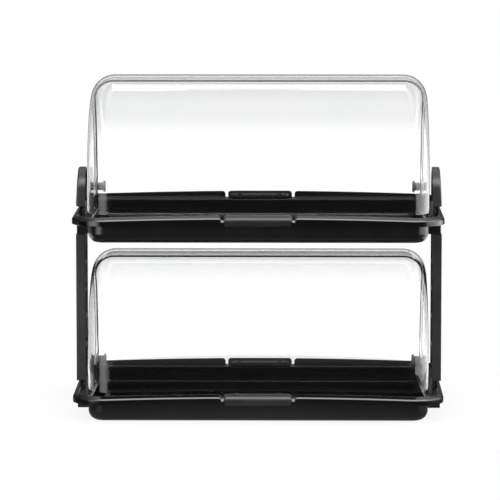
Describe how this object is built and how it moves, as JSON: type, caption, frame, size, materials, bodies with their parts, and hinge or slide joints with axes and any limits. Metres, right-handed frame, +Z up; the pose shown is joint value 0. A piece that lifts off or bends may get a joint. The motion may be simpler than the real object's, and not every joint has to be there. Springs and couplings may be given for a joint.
{
  "type": "countertop bread display bin",
  "caption": "Tiered countertop display bin for bread: stacked trays on side posts, each under a clear roll-top hood whose front shell rolls back over the rear one.",
  "frame": {"origin": "on the counter, under the middle of the lower tray", "axes": "+X to the right along the pivot axes, the front and its grips towards -Y, +Z up"},
  "size_m": [0.442, 0.3076, 0.4026],
  "materials": {
    "black_abs": "glossy moulded black ABS",
    "dark_grey_abs": "satin moulded dark grey ABS",
    "clear_polycarbonate": "clear polished polycarbonate sheet",
    "natural_polycarbonate": "natural translucent moulded polycarbonate",
    "natural_nylon": "natural nylon"
  },
  "bodies": {
    "stand": {"lower_tray": "black_abs", "lower_rear_cover": "clear_polycarbonate", "lower_rear_grip": "black_abs", "lower_left_pivot_pin": "natural_polycarbonate", "lower_right_pivot_pin": "natural_polycarbonate", "lower_left_pivot_cap": "natural_polycarbonate", "lower_right_pivot_cap": "natural_polycarbonate", "lower_left_washer": "natural_nylon", "lower_right_washer": "natural_nylon", "upper_tray": "black_abs", "upper_rear_cover": "clear_polycarbonate", "upper_rear_grip": "black_abs", "upper_left_pivot_pin": "natural_polycarbonate", "upper_right_pivot_pin": "natural_polycarbonate", "upper_left_pivot_cap": "natural_polycarbonate", "upper_right_pivot_cap": "natural_polycarbonate", "upper_left_washer": "natural_nylon", "upper_right_washer": "natural_nylon", "left_post": "dark_grey_abs", "right_post": "dark_grey_abs", "left_end_cap": "dark_grey_abs", "right_end_cap": "dark_grey_abs"},
    "lower_lid": {"lower_front_cover": "clear_polycarbonate", "lower_front_grip": "black_abs"},
    "upper_lid": {"upper_front_cover": "clear_polycarbonate", "upper_front_grip": "black_abs"}
  },
  "joints": [
    {"name": "lower_lid_roll", "type": "hinge", "parent": "stand", "child": "lower_lid", "pos_m": [0, 0, 0.0551], "axis": [-1, 0, 0], "range_deg": [0, 78]},
    {"name": "upper_lid_roll", "type": "hinge", "parent": "stand", "child": "upper_lid", "pos_m": [0, 0, 0.2671], "axis": [-1, 0, 0], "range_deg": [0, 78]}
  ]
}
